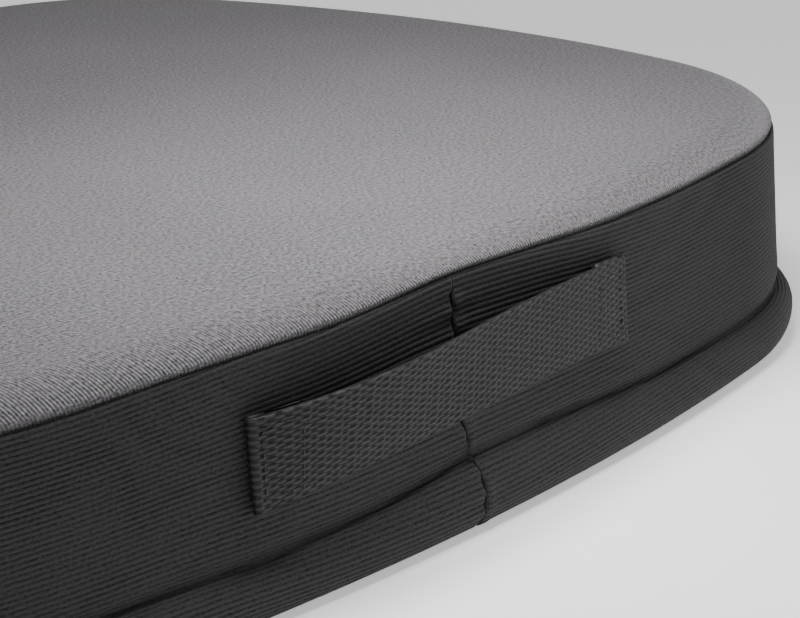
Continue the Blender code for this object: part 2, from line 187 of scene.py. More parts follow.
def outlineArcs():
    # front arc, front corner, side arc and rear corner: centre, radius, first and last heading
    front = Vector((0.0, outline["frontRadius"] - halfDepth))
    side = Vector((halfWidth - outline["sideRadius"], 0.0))
    corner = outline["frontCorner"]
    reachA = outline["frontRadius"] - corner
    reachB = outline["sideRadius"] - corner
    span = side - front
    along = (reachA ** 2 - reachB ** 2 + span.length_squared) / (2 * span.length)
    across = math.sqrt(reachA ** 2 - along ** 2)
    unit = span.normalized()
    middle = front + along * unit + across * Vector((-unit.y, unit.x))
    rearY = halfDepth - outline["rearCorner"]
    rearX = side.x + math.sqrt((outline["sideRadius"] - outline["rearCorner"]) ** 2 - rearY ** 2)
    rear = Vector((rearX, rearY))
    turns = [0.0]
    for centre, point in ((front, middle), (side, middle), (side, rear)):
        turns.append(math.atan2(point.x - centre.x, centre.y - point.y))
    turns.append(math.pi)
    places = (front, middle, side, rear)
    radii = (outline["frontRadius"], corner, outline["sideRadius"], outline["rearCorner"])
    return [(p, r, a, b) for p, r, a, b in zip(places, radii, turns, turns[1:])], rearX


arcs, rearStraight = outlineArcs()
arcLength = sum(radius * (end - start) for _, radius, start, end in arcs)
halfLength = arcLength + rearStraight
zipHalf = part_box("zip_band_upper")[1][0]
zipStart = halfLength - zipHalf


def edgeAt(s):
    # points on the top seam and outward directions, by distance from the front centre
    s = np.asarray(s, float)
    side = np.where(s < 0, -1.0, 1.0)
    left = np.abs(s)
    x, y = rearStraight - (left - arcLength), np.full(left.shape, halfDepth)
    outX, outY = np.zeros(left.shape), np.ones(left.shape)
    start = 0.0
    for centre, radius, first, last in arcs:
        length = radius * (last - first)
        inside = (left >= start) & (left <= start + length)
        turn = first + (left - start) / radius
        x = np.where(inside, centre.x + radius * np.sin(turn), x)
        y = np.where(inside, centre.y - radius * np.cos(turn), y)
        outX = np.where(inside, np.sin(turn), outX)
        outY = np.where(inside, -np.cos(turn), outY)
        start += length
    return x * side, y, outX * side, outY


def place(s, offset, height):
    # world points at offsets out from the top seam line
    x, y, outX, outY = edgeAt(s)
    offset = np.asarray(offset, float)
    return np.stack(np.broadcast_arrays(x + outX * offset, y + outY * offset, height), -1)


band = {
    "flare": 3.5 * mm,        # how far the wall leans out by the groove
    "lipOut": 4.3 * mm,       # the lip beyond the groove
    "lipMiddle": 9.0 * mm,    # height of the lip's widest line
    "groove": 15.0 * mm,      # height of the groove away from the handle
    "grooveRise": 4.8 * mm,   # how much the handle lifts it
    "dent": 2.2 * mm,         # the wall drawn in behind the handle
    "seamRise": 1.1 * mm,     # the top seam pushed up there
    "swell": 1.0 * mm,        # fullness of the wall round the front corners
    "turnIn": 8.0 * mm,       # hem under the lip
    "seamTuck": 0.5 * mm,     # the seams are drawn in by their stitches
    "grooveTuck": 2.3 * mm,
    "cover": 1.5 * mm,        # thickness of cloth and lining
}


wallPoints = 420    # on each profile, from the top seam to the groove
onWall = 400        # of those, the ones looked through for a height on the wall


seamWaves = ((0.25 * mm, 8, 0.7), (0.18 * mm, 19, 2.1))    # height, waves round the outline, start
grooveWaves = ((0.3 * mm, 11, 0.0), (0.2 * mm, 27, 1.0))
wallWave = 0.35 * mm


def ripple(s, waves, phase):
    # a wave that closes on itself: a whole number of waves round the outline
    return np.sin(math.pi * waves * s / halfLength + phase)


def wanderOf(s, waves):
    return sum(height * ripple(s, count, phase) for height, count, phase in waves)


def wrap(s):
    # distances past the rear centre carry on from the other side
    return (s + halfLength) % (2 * halfLength) - halfLength


def seamLine(s):
    # height of the top seam: level, pushed up over the handle, with the slight wander of a hand-fed seam
    settle = -1.0 * mm * smoothStep(40 * mm, 75 * mm, s) * (1 - smoothStep(230 * mm, 300 * mm, s))
    settle = settle - 1.8 * mm * smoothStep(60 * mm, 150 * mm, -s) * (1 - smoothStep(220 * mm, 300 * mm, -s))
    return seamHeight + band["seamRise"] * hump(s, 6 * mm, 34 * mm, 34 * mm) + settle + wanderOf(s, seamWaves)


def dentAt(s):
    # drawn in behind the handle, swelling a little at the front corners
    swell = hump(np.abs(s), 200 * mm, 55 * mm, 90 * mm)
    return band["dent"] * hump(s, 8 * mm, 32 * mm, 38 * mm) - band["swell"] * swell


def grooveLine(s):
    rise = band["grooveRise"] * hump(s, 12 * mm, 42 * mm, 70 * mm)
    return band["groove"] + rise + wanderOf(s, grooveWaves)


def wallOffset(s, height):
    # how far the wall stands out from the seam line
    top, low = seamLine(s), grooveLine(s)
    down = np.clip((top - height) / (top - low), 0, 1)
    lean = band["flare"] * (0.35 * down + 0.65 * down ** 2.5)
    drawnIn = dentAt(s) * (1 - smoothStep(0.15, 0.95, down))
    soft = wallWave * ripple(s, 7, 3 * down) * np.sin(math.pi * down)
    return lean - drawnIn + soft


def bandProfile(s):
    # offsets and heights of the band's face from the top seam to the hem, one row per station
    s = np.asarray(s, float)[:, None]
    top, low = seamLine(s), grooveLine(s)
    down = np.linspace(0, 1, wallPoints)[None, :]
    height = top - (top - low) * down
    tuck = band["seamTuck"] * np.exp(-((top - height) / (0.6 * mm)) ** 2)
    tuck = tuck + band["grooveTuck"] * np.exp(-((height - low) / (3.2 * mm)) ** 2)
    offset = wallOffset(s, height) - tuck
    foot = offset[:, -1:]
    middle = band["lipMiddle"]
    turn = np.linspace(0, math.pi / 2, 90)[None, 1:]
    reach = band["lipOut"] + band["grooveTuck"]
    upperOffset = foot + reach * np.sin(turn)
    upperHeight = middle + (low - middle) * np.cos(turn)
    lowerOffset = foot + reach * np.cos(turn) ** 0.9
    lowerHeight = middle * (1 - np.sin(turn)) + 0 * s
    inward = np.linspace(0, 1, 40)[None, 1:]
    hem = foot - band["turnIn"] * inward
    offsets = np.concatenate([offset, upperOffset, lowerOffset, hem], 1)
    heights = np.concatenate([height, upperHeight, lowerHeight, 0.0 * hem + 0.15 * mm * inward], 1)
    return offsets, heights


def runsOf(offsets, heights):
    # distance along each profile from the top seam
    steps = np.hypot(np.diff(offsets, axis=1), np.diff(heights, axis=1))
    return np.concatenate([np.zeros((len(offsets), 1)), np.cumsum(steps, axis=1)], 1)


def runAtHeight(offsets, heights, level):
    # how far down each profile the wall passes a height
    runs = runsOf(offsets, heights)
    return np.array([np.interp(-level, -row[:onWall], run[:onWall]) for row, run in zip(heights, runs)])


def readProfile(offsets, heights, first, last, shares):
    # the profiles read at shares of the stretch between two distances along them
    runs = runsOf(offsets, heights)
    out = np.zeros((len(offsets), len(shares), 2))
    for row in range(len(offsets)):
        spots = first[row] + (last[row] - first[row]) * shares
        out[row, :, 0] = np.interp(spots, runs[row], offsets[row])
        out[row, :, 1] = np.interp(spots, runs[row], heights[row])
    return out


def facingOut(section):
    # unit normals of open profiles that run from the top down
    slope = np.gradient(section, axis=1)
    unit = slope / np.maximum(np.linalg.norm(slope, axis=2, keepdims=True), 1e-9)
    return np.stack([-unit[..., 1], unit[..., 0]], -1)


# Materials

def startMaterial(name):
    material = bpy.data.materials.new(name)
    material.use_nodes = True
    tree = material.node_tree
    return material, tree, tree.nodes["Principled BSDF"]


def dress(tree, shader, tone, stops, height, strength, depth, looks):
    # tone to colour by its stops, height to a bump, and the shader's own values
    colour = addNode(tree, "ShaderNodeValToRGB", {0: tone})
    elements = colour.color_ramp.elements
    for index, (position, hexColour) in enumerate(stops):
        element = elements[index] if index < 2 else elements.new(position)
        element.position = position
        element.color = toLinear(hexColour)
    bump = addNode(tree, "ShaderNodeBump", {"Strength": strength, "Distance": depth, "Height": height})
    tree.links.new(colour.outputs["Color"], shader.inputs["Base Color"])
    tree.links.new(bump.outputs["Normal"], shader.inputs["Normal"])
    for name, value in looks.items():
        shader.inputs[name].default_value = value


velourPile = {"wale": 1.05 * mm, "slant": 0.25, "wander": 1.1 * mm, "fuzz": 900.0}    # fuzz: noise scale
knitLoops = {"along": 1.1 * mm, "across": 0.7 * mm, "slant": math.radians(24)}
filaments = {"scale": (700.0, 3200.0, 1.0), "slant": math.radians(35)}


def makeVelour():
    # Polyester velour, warp-knitted in fine wales and sheared: soft, matt, paler where the pile catches light; shade
    # is painted along its rolled edge by the top seam.
    material, tree, shader = startMaterial("polyesterVelour")
    cloth = addNode(tree, "ShaderNodeAttribute", attribute_name="cloth").outputs["Vector"]
    wander = addNode(tree, "ShaderNodeTexNoise", {"Vector": cloth, "Scale": 90.0, "Detail": 2.0})
    split = addNode(tree, "ShaderNodeSeparateXYZ", {0: cloth})
    bend = addNode(tree, "ShaderNodeMath", {0: wander, 1: velourPile["wander"]}, operation="MULTIPLY")
    bias = addNode(tree, "ShaderNodeMath", {0: split.outputs["Y"], 1: velourPile["slant"], 2: bend},
                   operation="MULTIPLY_ADD")
    x = addNode(tree, "ShaderNodeMath", {0: split.outputs["X"], 1: bias}, operation="ADD")
    wale = addNode(tree, "ShaderNodeMath", {0: x, 1: 2 * math.pi / velourPile["wale"]}, operation="MULTIPLY")
    ridge = addNode(tree, "ShaderNodeMath", {0: wale}, operation="SINE")
    fuzz = addNode(tree, "ShaderNodeTexNoise", {"Vector": cloth, "Scale": velourPile["fuzz"], "Detail": 3.0,
                                                "Roughness": 0.7})
    patches = addNode(tree, "ShaderNodeTexNoise", {"Vector": cloth, "Scale": 9.0, "Detail": 3.0})
    edge = addNode(tree, "ShaderNodeAttribute", attribute_name="lift").outputs["Fac"]
    depth = addNode(tree, "ShaderNodeMapRange", {0: edge, 3: 0.25, 4: 1.0})
    ridgeDeep = addNode(tree, "ShaderNodeMath", {0: ridge, 1: depth}, operation="MULTIPLY")
    ridgePart = addNode(tree, "ShaderNodeMath", {0: ridgeDeep, 1: 0.12, 2: -1.07}, operation="MULTIPLY_ADD")
    # painted shade: the pile is darkened on the rolled edge next to the top seam, where the crease falls in shade
    seamShade = addNode(tree, "ShaderNodeMapRange", {0: edge, 1: 0.86, 2: 1.0, 3: 0.0, 4: -0.5})
    walesAndSeamShade = addNode(tree, "ShaderNodeMath", {0: ridgePart, 1: seamShade}, operation="ADD")
    fuzzPart = addNode(tree, "ShaderNodeMath", {0: fuzz, 1: 2.9, 2: walesAndSeamShade}, operation="MULTIPLY_ADD")
    tone = addNode(tree, "ShaderNodeMath", {0: patches, 1: 0.3, 2: fuzzPart}, operation="MULTIPLY_ADD")
    relief = addNode(tree, "ShaderNodeMath", {0: fuzz, 1: 0.9, 2: ridgeDeep}, operation="MULTIPLY_ADD")
    dress(tree, shader, tone, ((0.0, "#2f2d2f"), (1.0, "#7a777a")), relief, 0.65, 0.3 * mm, {
        "Roughness": 0.9, "Specular IOR Level": 0.15, "Sheen Weight": 0.35, "Sheen Roughness": 0.45,
        "Sheen Tint": toLinear("#b9b6b9")})
    return material


def makeRibKnit():
    # Polyester rib knit: matt twisted yarn, the ribs themselves are in the mesh, the loops are in the bump, and
    # shade is painted into the rib valleys.
    material, tree, shader = startMaterial("charcoalRibKnit")
    cloth = addNode(tree, "ShaderNodeAttribute", attribute_name="cloth").outputs["Vector"]
    loops = addNode(tree, "ShaderNodeMapping", {
        "Vector": cloth, "Scale": (1 / knitLoops["along"], 1 / knitLoops["across"], 1.0),
        "Rotation": (0.0, 0.0, knitLoops["slant"])})
    yarn = addNode(tree, "ShaderNodeTexNoise", {"Vector": loops, "Scale": 1.0, "Detail": 2.0})
    fuzz = addNode(tree, "ShaderNodeTexNoise", {"Vector": cloth, "Scale": 2600.0, "Detail": 2.0})
    patches = addNode(tree, "ShaderNodeTexNoise", {"Vector": cloth, "Scale": 14.0, "Detail": 2.0})
    crest = addNode(tree, "ShaderNodeAttribute", attribute_name="crest").outputs["Fac"]
    height = addNode(tree, "ShaderNodeMath", {0: fuzz, 1: 0.5, 2: yarn}, operation="MULTIPLY_ADD")
    loopTone = addNode(tree, "ShaderNodeMath", {0: height, 1: 1.5, 2: -1.1}, operation="MULTIPLY_ADD")
    # painted shade: the rib valleys are darkened from the stored crests, over the mesh's own ribs
    ribShadedTone = addNode(tree, "ShaderNodeMath", {0: crest, 1: 0.75, 2: loopTone}, operation="MULTIPLY_ADD")
    tone = addNode(tree, "ShaderNodeMath", {0: patches, 1: 0.3, 2: ribShadedTone}, operation="MULTIPLY_ADD")
    dress(tree, shader, tone, ((0.1, "#0b0b0b"), (0.95, "#343234")), height, 0.8, 0.25 * mm, {
        "Roughness": 0.85, "Specular IOR Level": 0.2, "Sheen Weight": 0.18, "Sheen Roughness": 0.4,
        "Sheen Tint": toLinear("#8a888a")})
    return material


def makeWebbingMaterial():
    # Polypropylene webbing: plain-woven in the mesh, each yarn a bundle of slightly glossy filaments; shade is
    # painted into the pits between the threads.
    material, tree, shader = startMaterial("polypropyleneWebbing")
    cloth = addNode(tree, "ShaderNodeAttribute", attribute_name="cloth").outputs["Vector"]
    strands = addNode(tree, "ShaderNodeMapping", {
        "Vector": cloth, "Rotation": (0.0, 0.0, filaments["slant"]), "Scale": filaments["scale"]})
    yarn = addNode(tree, "ShaderNodeTexNoise", {"Vector": strands, "Scale": 1.0, "Detail": 2.0})
    crest = addNode(tree, "ShaderNodeAttribute", attribute_name="crest").outputs["Fac"]
    # painted shade: the pits between the threads are painted dark, and the thread crowns lighter
    tone = addNode(tree, "ShaderNodeMath", {0: yarn, 1: 0.8, 2: crest}, operation="MULTIPLY_ADD")
    dress(tree, shader, tone, ((0.62, "#040404"), (1.0, "#2a2927"), (0.82, "#111110")), yarn, 0.6, 0.12 * mm, {
        "Roughness": 0.6, "Specular IOR Level": 0.3})
    return material


def makeSpun(name, darkHex, paleHex, roughness, scale):
    # A spun or woven cloth too fine to draw thread by thread: mottled colour and a fine tooth.
    material, tree, shader = startMaterial(name)
    spot = addNode(tree, "ShaderNodeTexCoord").outputs["Object"]
    grain = addNode(tree, "ShaderNodeTexNoise", {"Vector": spot, "Scale": scale, "Detail": 3.0})
    dress(tree, shader, grain, ((0.35, darkHex), (0.65, paleHex)), grain, 0.5, 0.1 * mm, {"Roughness": roughness})
    return material


def makeZinc():
    # Die-cast zinc with a satin black coat, rubbed to grey metal where it is handled.
    material, tree, shader = startMaterial("paintedDieCastZinc")
    spot = addNode(tree, "ShaderNodeTexCoord").outputs["Object"]
    rub = addNode(tree, "ShaderNodeTexNoise", {"Vector": spot, "Scale": 420.0, "Detail": 4.0})
    worn = addNode(tree, "ShaderNodeMapRange", {0: rub, 1: 0.62, 2: 0.72})
    colour = addNode(tree, "ShaderNodeMix", {0: worn, 6: toLinear("#1d1d1e"), 7: toLinear("#55534f")},
                     data_type="RGBA")
    tree.links.new(colour.outputs[2], shader.inputs["Base Color"])
    rough = addNode(tree, "ShaderNodeMapRange", {0: rub, 3: 0.32, 4: 0.5})
    tree.links.new(rough.outputs[0], shader.inputs["Roughness"])
    shader.inputs["Metallic"].default_value = 0.85
    bump = addNode(tree, "ShaderNodeBump", {"Strength": 0.2, "Distance": 0.05 * mm, "Height": rub})
    tree.links.new(bump.outputs["Normal"], shader.inputs["Normal"])
    return material


velour = makeVelour()
ribKnit = makeRibKnit()
webbingCloth = makeWebbingMaterial()
threadYarn = makeSpun("spunPolyesterThread", "#262524", "#3a3837", 0.7, 2400.0)
gripCloth = makeSpun("gripKnit", "#161616", "#232323", 0.85, 1800.0)
gripRubber = makeSpun("siliconeGripDots", "#1b1b1c", "#222223", 0.45, 900.0)
foamCells = makeSpun("openCellFoam", "#c9c4b2", "#ddd9ca", 0.95, 1500.0)
labelSatin = makeSpun("wovenSatinLabel", "#c9c7c0", "#dedcd6", 0.55, 2200.0)
tapeCloth = makeSpun("wovenZipTape", "#131313", "#1f1f20", 0.8, 2000.0)
coilNylon = makeSpun("mouldedNylonCoil", "#161617", "#1c1c1d", 0.4, 600.0)
tabCloth = makeSpun("tabCloth", "#1d1b1c", "#2c2a2b", 0.85, 1700.0)
zinc = makeZinc()
print("materials made")


# Trees that repeat

def finishTree(tree, geometry, material, smooth=True):
    real = addNode(tree, "GeometryNodeRealizeInstances", {0: geometry})
    if smooth:
        real = addNode(tree, "GeometryNodeSetShadeSmooth", {"Geometry": real})
    painted = addNode(tree, "GeometryNodeSetMaterial", {"Geometry": real, "Material": material})
    addNode(tree, "NodeGroupOutput", {0: painted})
    return tree


def crownOver(tree, count, power):
    # a rounded crown over each whole step of a count, down to 0 between steps
    part = addNode(tree, "ShaderNodeMath", {0: count}, operation="FRACT")
    rest = addNode(tree, "ShaderNodeMath", {0: 1.0, 1: part}, operation="SUBTRACT")
    for by, operation in ((rest, "MULTIPLY"), (4.0, "MULTIPLY"), (power, "POWER")):
        part = addNode(tree, "ShaderNodeMath", {0: part, 1: by}, operation=operation)
    return part


def raiseCloth(tree, given, height, crest):
    # moves cloth along its normals by a height times its "lift", and keeps the crests for its material
    lift = addNode(tree, "GeometryNodeInputNamedAttribute", {"Name": "lift"}, data_type="FLOAT")
    faded = addNode(tree, "ShaderNodeMath", {0: height, 1: lift}, operation="MULTIPLY")
    normal = addNode(tree, "GeometryNodeInputNormal")
    offset = addNode(tree, "ShaderNodeVectorMath", {0: normal, "Scale": faded}, operation="SCALE")
    marked = addNode(tree, "GeometryNodeStoreNamedAttribute", {"Geometry": given["Geometry"], "Name": "crest",
                                                               "Value": crest}, data_type="FLOAT")
    moved = addNode(tree, "GeometryNodeSetPosition", {"Geometry": marked, "Offset": offset})
    return finishTree(tree, moved, given["material"], smooth=False)


def ribbedClothTree():
    # raises ribs that run along the cloth, with a little wander and uneven loops
    tree, given = startTree("ribbedCloth", {
        "ribPitch": 1.35 * mm, "slackPitch": 0.2 * mm, "slackWidth": 75 * mm, "middle": 30 * mm,
        "ribHeight": 0.35 * mm, "wander": 0.8 * mm, "loopHeight": 0.08 * mm, "seed": 1.0})
    cloth = addNode(tree, "GeometryNodeInputNamedAttribute", {"Name": "cloth"}, data_type="FLOAT_VECTOR")
    split = addNode(tree, "ShaderNodeSeparateXYZ", {0: cloth})
    sway = addNode(tree, "ShaderNodeTexNoise", {"Vector": cloth, "W": given["seed"], "Scale": 22.0, "Detail": 1.0},
                   noise_dimensions="4D")
    swayed = addNode(tree, "ShaderNodeMath", {0: sway, 1: 0.5}, operation="SUBTRACT")
    across = addNode(tree, "ShaderNodeMath", {0: swayed, 1: given["wander"], 2: split.outputs["Y"]},
                     operation="MULTIPLY_ADD")
    away = addNode(tree, "ShaderNodeMath", {0: split.outputs["X"], 1: given["slackWidth"]}, operation="DIVIDE")
    slack = away
    for by, operation in ((away, "MULTIPLY"), (-1.0, "MULTIPLY"), (0.0, "EXPONENT")):
        slack = addNode(tree, "ShaderNodeMath", {0: slack, 1: by}, operation=operation)
    pitch = addNode(tree, "ShaderNodeMath", {0: slack, 1: given["slackPitch"], 2: given["ribPitch"]},
                    operation="MULTIPLY_ADD")
    offMiddle = addNode(tree, "ShaderNodeMath", {0: across, 1: given["middle"]}, operation="SUBTRACT")
    phase = addNode(tree, "ShaderNodeMath", {0: offMiddle, 1: pitch}, operation="DIVIDE")
    crest = crownOver(tree, phase, 0.7)
    ribs = crest
    for by, operation in ((1.0, "SUBTRACT"), (given["ribHeight"], "MULTIPLY")):
        ribs = addNode(tree, "ShaderNodeMath", {0: ribs, 1: by}, operation=operation)
    loops = addNode(tree, "ShaderNodeTexNoise", {"Vector": cloth, "W": given["seed"], "Scale": 420.0, "Detail": 1.0},
                    noise_dimensions="4D")
    loopsLow = addNode(tree, "ShaderNodeMath", {0: loops, 1: 1.0}, operation="SUBTRACT")
    uneven = addNode(tree, "ShaderNodeMath", {0: loopsLow, 1: given["loopHeight"], 2: ribs},
                     operation="MULTIPLY_ADD")
    return raiseCloth(tree, given, uneven, crest)


def wovenWebbingTree():
    # raises a plain weave: warp over weft, weft over warp, pits between
    tree, given = startTree("wovenWebbing", {
        "warpPitch": 0.96 * mm, "weftPitch": 1.1 * mm, "relief": 0.4 * mm, "weftShare": 0.4,
        "unevenness": 0.35 * mm, "seed": 3.0})
    cloth = addNode(tree, "GeometryNodeInputNamedAttribute", {"Name": "cloth"}, data_type="FLOAT_VECTOR")
    shift = addNode(tree, "ShaderNodeTexNoise", {"Vector": cloth, "W": given["seed"], "Scale": 260.0, "Detail": 1.0},
                    noise_dimensions="4D")
    centred = addNode(tree, "ShaderNodeVectorMath", {0: shift.outputs["Color"], 1: (0.5, 0.5, 0.5)},
                      operation="SUBTRACT")
    moved = addNode(tree, "ShaderNodeVectorMath", {0: centred, "Scale": given["unevenness"]}, operation="SCALE")
    spot = addNode(tree, "ShaderNodeVectorMath", {0: cloth, 1: moved}, operation="ADD")
    split = addNode(tree, "ShaderNodeSeparateXYZ", {0: spot})
    threads = []
    lines = (("Y", "warpPitch", "X", "weftPitch", 0.0), ("X", "weftPitch", "Y", "warpPitch", 1.0))
    for acrossAxis, acrossPitch, alongAxis, alongPitch, turn in lines:
        count = addNode(tree, "ShaderNodeMath", {0: split.outputs[acrossAxis], 1: given[acrossPitch]},
                        operation="DIVIDE")
        index = addNode(tree, "ShaderNodeMath", {0: count}, operation="FLOOR")
        crown = crownOver(tree, count, 0.3)
        steps = addNode(tree, "ShaderNodeMath", {0: split.outputs[alongAxis], 1: given[alongPitch]},
                        operation="DIVIDE")
        over = steps
        for by, operation in ((index, "ADD"), (turn, "ADD"), (math.pi, "MULTIPLY"), (0.0, "SINE"),
                              (0.5, "MULTIPLY_ADD"), (0.55, "POWER")):
            over = addNode(tree, "ShaderNodeMath", {0: over, 1: by, 2: 0.5}, operation=operation)
        pair = addNode(tree, "ShaderNodeMath", {0: index, 1: 2.0}, operation="FLOORED_MODULO")
        level = addNode(tree, "ShaderNodeMath", {0: pair, 1: -0.22, 2: 1.0}, operation="MULTIPLY_ADD")
        for by in (over, level):
            crown = addNode(tree, "ShaderNodeMath", {0: crown, 1: by}, operation="MULTIPLY")
        threads.append(crown)
    weft = addNode(tree, "ShaderNodeMath", {0: threads[1], 1: given["weftShare"]}, operation="MULTIPLY")
    top = addNode(tree, "ShaderNodeMath", {0: threads[0], 1: weft}, operation="MAXIMUM")
    deep = top
    for by, operation in ((1.0, "SUBTRACT"), (given["relief"], "MULTIPLY")):
        deep = addNode(tree, "ShaderNodeMath", {0: deep, 1: by}, operation=operation)
    return raiseCloth(tree, given, deep, top)


def stitchRowTree():
    # stitches end to end along a line of edges
    tree, given = startTree("stitchRow", {
        "spacing": 3.0 * mm, "stitchLength": 2.6 * mm, "threadRadius": 0.25 * mm})
    line = addNode(tree, "GeometryNodeMeshToCurve", {"Mesh": given["Geometry"]})
    spots = addNode(tree, "GeometryNodeResampleCurve", {"Curve": line, "Length": given["spacing"]}, mode="LENGTH")
    along = addNode(tree, "GeometryNodeInputTangent")
    turn = addNode(tree, "FunctionNodeAlignRotationToVector", {"Vector": along}, axis="X")
    bead = addNode(tree, "GeometryNodeMeshUVSphere", {"Segments": 6, "Rings": 4, "Radius": 1.0})
    halfStitch = addNode(tree, "ShaderNodeMath", {0: given["stitchLength"], 1: 0.5}, operation="MULTIPLY")
    size = addNode(tree, "ShaderNodeCombineXYZ", {0: halfStitch, 1: given["threadRadius"], 2: given["threadRadius"]})
    turned = addNode(tree, "GeometryNodeTransform", {"Geometry": bead, "Rotation": (0.0, math.pi / 2, 0.0)})
    stitch = addNode(tree, "GeometryNodeTransform", {"Geometry": turned, "Scale": size})
    row = addNode(tree, "GeometryNodeInstanceOnPoints", {"Points": spots, "Instance": stitch, "Rotation": turn})
    return finishTree(tree, row, given["material"])


def coilTeethTree():
    # moulded teeth side by side from the first point of a line to its last
    tree, given = startTree("coilTeeth", {
        "pitch": 1.3 * mm, "reach": 2.4 * mm, "thickness": 1.7 * mm, "lean": 0.25})
    line = addNode(tree, "GeometryNodeMeshToCurve", {"Mesh": given["Geometry"]})
    spots = addNode(tree, "GeometryNodeResampleCurve", {"Curve": line, "Length": given["pitch"]}, mode="LENGTH")
    bead = addNode(tree, "GeometryNodeMeshUVSphere", {"Segments": 8, "Rings": 5, "Radius": 0.5})
    width = addNode(tree, "ShaderNodeMath", {0: given["pitch"], 1: 0.82}, operation="MULTIPLY")
    size = addNode(tree, "ShaderNodeCombineXYZ", {0: width, 1: given["thickness"], 2: given["reach"]})
    lean = addNode(tree, "ShaderNodeCombineXYZ", {1: given["lean"]})
    tooth = addNode(tree, "GeometryNodeTransform", {"Geometry": bead, "Rotation": lean, "Scale": size})
    row = addNode(tree, "GeometryNodeInstanceOnPoints", {"Points": spots, "Instance": tooth})
    return finishTree(tree, row, given["material"])


def gripDotsTree():
    # a low rubber dome under each point
    tree, given = startTree("gripDots", {
        "radius": 1.6 * mm, "height": 0.6 * mm})
    bead = addNode(tree, "GeometryNodeMeshUVSphere", {"Segments": 8, "Rings": 4, "Radius": 1.0})
    size = addNode(tree, "ShaderNodeCombineXYZ", {0: given["radius"], 1: given["radius"], 2: given["height"]})
    dome = addNode(tree, "GeometryNodeTransform", {"Geometry": bead, "Scale": size})
    row = addNode(tree, "GeometryNodeInstanceOnPoints", {"Points": given["Geometry"], "Instance": dome})
    return finishTree(tree, row, given["material"])


ribbedCloth = ribbedClothTree()
wovenWebbing = wovenWebbingTree()
stitchRow = stitchRowTree()
coilTeeth = coilTeethTree()
gripDots = gripDotsTree()


def makeLine(name, points, closed=False):
    # a bare line of edges for a tree to work along
    count = len(points)
    mesh = bpy.data.meshes.new(name)
    edges = [(k, (k + 1) % count) for k in range(count if closed else count - 1)]
    mesh.from_pydata(np.asarray(points, float).tolist(), edges, [])
    return addObject(name, mesh)


def sewRow(name, points, sizes, closed=False):
    return bake(makeLine(name, points, closed), stitchRow, {**sizes, "material": threadYarn})


# Side bands

ribs = {
    "ribPitch": 1.36 * mm,
    "slackPitch": 0.2 * mm,   # added where the cloth is slack at the middle of the front
    "ribHeight": 0.42 * mm,
    "wander": 0.9 * mm,
    "loopHeight": 0.10 * mm,
    "samples": 5,             # mesh rows on each rib
}
centreSeam = {
    "shift": 3.0 * mm,        # the centre seam lies to the right of the middle
    "drift": 0.5 * mm,        # how far it strays from upright, either way
    "swerve": 2.6 * mm,       # and back towards the middle low on the wall
    "depth": 0.9 * mm,        # how far the two edges turn in
    "under": 0.6 * mm,        # how far the side bands run under the zip bands
    "pucker": 0.35 * mm,
    "puckerPitch": 6.5 * mm,
}
cutEdge = {"depth": 0.8 * mm, "width": 0.9 * mm}    # how every other edge of the band turns in


def sideStations():
    # close together at the centre seam, wider round the corners
    stops = [0.15 * mm]
    step = 0.35 * mm
    while stops[-1] + step < zipStart:
        stops.append(stops[-1] + step)
        limit = 1.4 * mm if stops[-1] < 190 * mm else 5.0 * mm
        step = min(step * 1.12, limit)
    stops += [zipStart, zipStart + centreSeam["under"]]
    return np.array(stops)


def endTurn(distance, depth, width):
    # how far cloth turns in beside an end of its strip
    return depth * np.exp(-(distance / width) ** 2)


def bandStrip(name, s, top, low, seed, turnIn, drift):
    # a strip of the band along stations s, between two heights (None: from the seam, or round to the hem);
    # ribs are raised on its outer side
    wrapped = wrap(s)
    offsets, heights = bandProfile(wrapped)
    runs = runsOf(offsets, heights)
    first = runs[:, 0] if top is None else runAtHeight(offsets, heights, top)
    last = runs[:, -1] if low is None else runAtHeight(offsets, heights, low)
    length = float(np.median(last - first))
    step = ribs["ribPitch"] / ribs["samples"]
    shares = np.append(np.arange(int(length / step) + 1) * step / length, 1.0)
    across = shares * length
    outer = readProfile(offsets, heights, first, last, shares)
    wall = smoothStep(2 * mm, 6 * mm, across) * (1 - smoothStep(length - 14 * mm, length - 8 * mm, across))
    hemTurn = 0.0 if low is None else endTurn(length - across, **cutEdge)
    topTurn = 0.0 if top is None else endTurn(across, **cutEdge)
    shallow = 1 - 0.85 * np.exp(-((outer[..., 1] - grooveLine(wrapped)[:, None]) / (4 * mm)) ** 2)
    outer = outer - facingOut(outer) * (turnIn(s, across) * wall * shallow + hemTurn + topTurn)[..., None]
    innerShares = np.linspace(1, 0, 14)
    inner = readProfile(offsets, heights, first, last, innerShares)
    inner = inner + facingOut(inner) * band["cover"] * 0.8
    section = np.concatenate([outer, inner], 1)
    allShares = np.concatenate([shares, innerShares])
    along = wrapped[:, None] + drift(s, allShares)
    points = place(along, section[..., 0], section[..., 1])
    cloth = np.zeros(points.shape)
    cloth[..., 0] = s[:, None]
    cloth[..., 1] = (allShares * length)[None, :] + (0.0 if top is None else float(np.median(first)))
    edge = smoothStep(-0.6 * mm, 0.4 * mm, across) * (1 - smoothStep(length - 3 * mm, length, across))
    lift = np.concatenate([edge, np.zeros(len(innerShares))])
    lift = lift[None, :] * smoothStep(0.1 * mm, 1.4 * mm, np.abs(s))[:, None]
    if s[-1] < s[0]:
        points, cloth, lift = points[::-1], cloth[::-1], lift[::-1]
    piece = sweep(name, points, cloth, lift)
    bake(piece, ribbedCloth, {**ribs, "seed": seed, "material": ribKnit})
    return piece, length


def declare(piece, slotName, *nodes, body=cushion):
    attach(piece, body)
    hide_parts(*nodes)
    return piece


